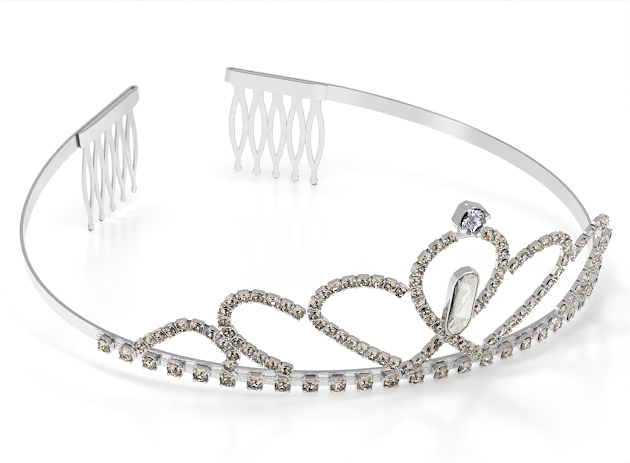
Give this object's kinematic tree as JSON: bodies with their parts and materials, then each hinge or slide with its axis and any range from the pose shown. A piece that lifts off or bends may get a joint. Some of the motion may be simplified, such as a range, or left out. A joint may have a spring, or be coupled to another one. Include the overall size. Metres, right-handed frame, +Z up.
{
  "type": "tiara",
  "caption": "Open tiara: flat silver headband with folded-in hair combs, a row of square-set clear stones, and curls of stone chain rising to a round stone.",
  "frame": {"origin": "on the table under the middle of the tiara's bounding box", "axes": "+X to the viewer's right across the crest, +Y from the crest back to the combs, +Z up"},
  "size_m": [0.1406, 0.149, 0.0493],
  "materials": {
    "silver": "bright rhodium plate",
    "comb_silver": "satin plate",
    "clear_stone": "cut and foil backed",
    "smoky_stone": "cut and foil backed",
    "blue_stone": "cut and foil backed"
  },
  "bodies": {
    "root": {"headband": "silver", "comb_left": "comb_silver", "comb_right": "comb_silver", "base_chain": "silver", "base_stones": "clear_stone", "curl_left_outer": "silver", "curl_left_middle": "silver", "curl_left_inner": "silver", "curl_right_inner": "silver", "curl_right_middle": "silver", "curl_right_outer": "silver", "curl_left_outer_stones": "clear_stone", "curl_left_middle_stones": "clear_stone", "curl_left_inner_stones": "clear_stone", "curl_right_inner_stones": "clear_stone", "curl_right_middle_stones": "clear_stone", "curl_right_outer_stones": "clear_stone", "centre_loop": "silver", "centre_loop_stones": "clear_stone", "oval_setting": "silver", "oval_stone": "smoky_stone", "top_setting": "silver", "top_stone": "blue_stone"}
  },
  "joints": []
}
